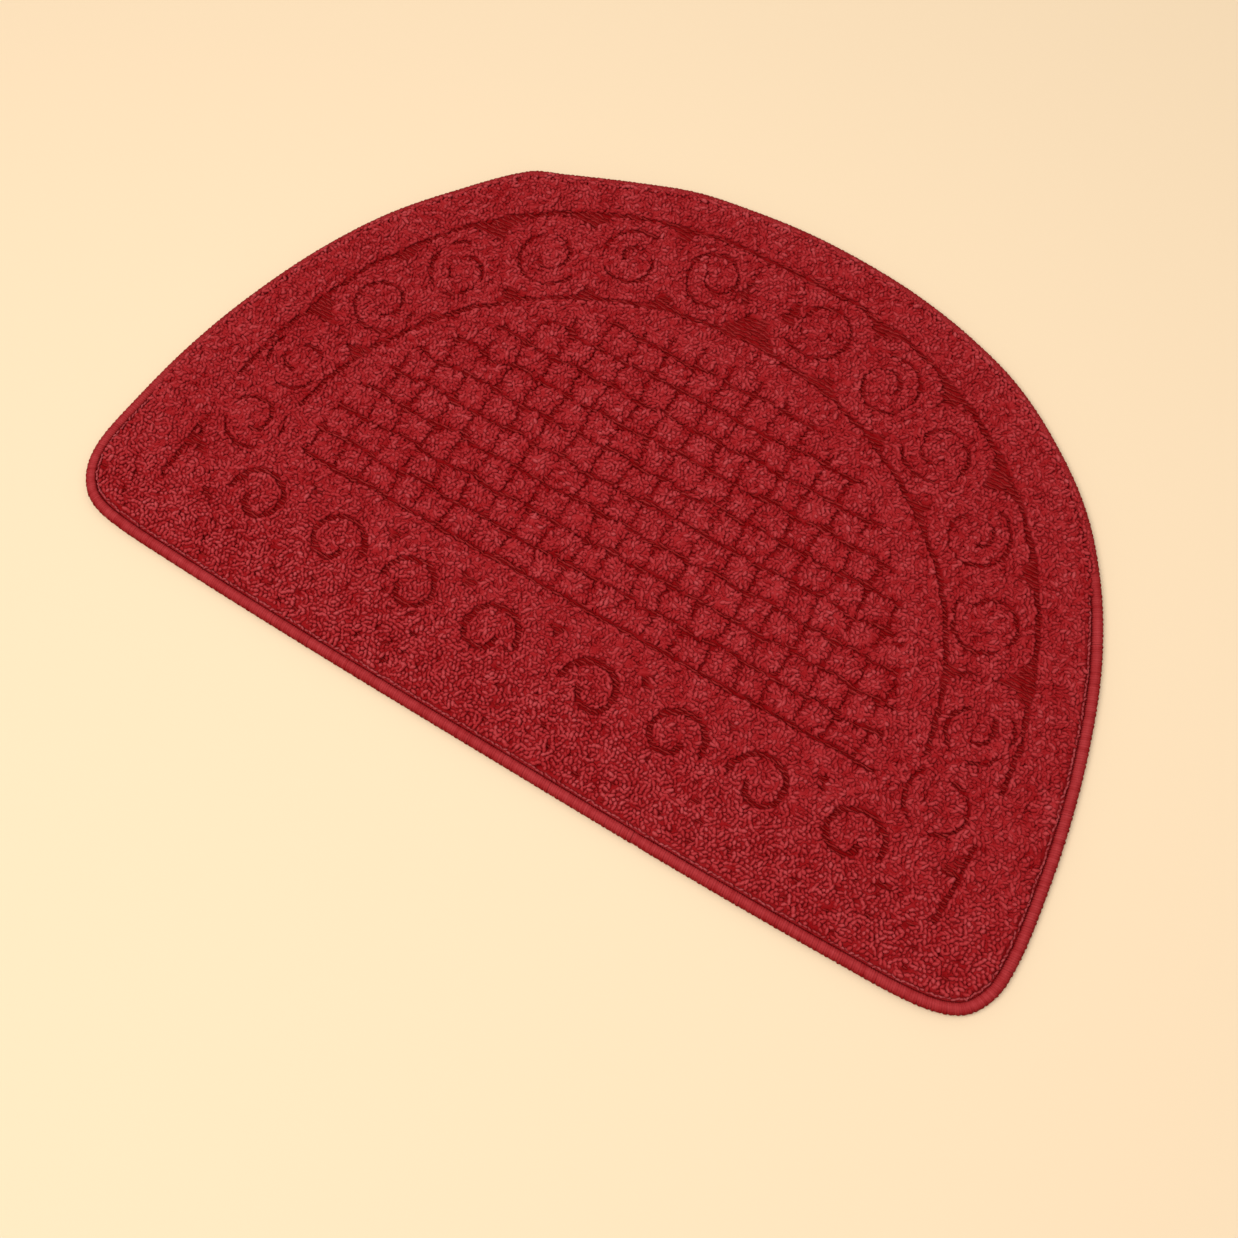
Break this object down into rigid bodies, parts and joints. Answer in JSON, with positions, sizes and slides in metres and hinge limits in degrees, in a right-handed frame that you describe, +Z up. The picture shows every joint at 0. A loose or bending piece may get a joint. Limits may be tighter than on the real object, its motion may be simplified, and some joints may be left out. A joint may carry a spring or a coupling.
{
  "type": "half moon doormat",
  "caption": "Half moon loop pile doormat with a bound edge, a cobbled middle and a carved border of scrolls, lying flat on the floor.",
  "frame": {"origin": "middle of the bounding box, on the underside that lies on the floor", "axes": "+X along the straight edge, +Y from the straight edge towards the middle of the arc, +Z up out of the pile"},
  "size_m": [0.6025, 0.3764, 0.0094],
  "materials": {
    "pile": "matt looped yarn",
    "binding": "matt wrapped yarn"
  },
  "bodies": {
    "root": {"pile_carpet": "pile", "edge_binding": "binding"}
  },
  "joints": []
}
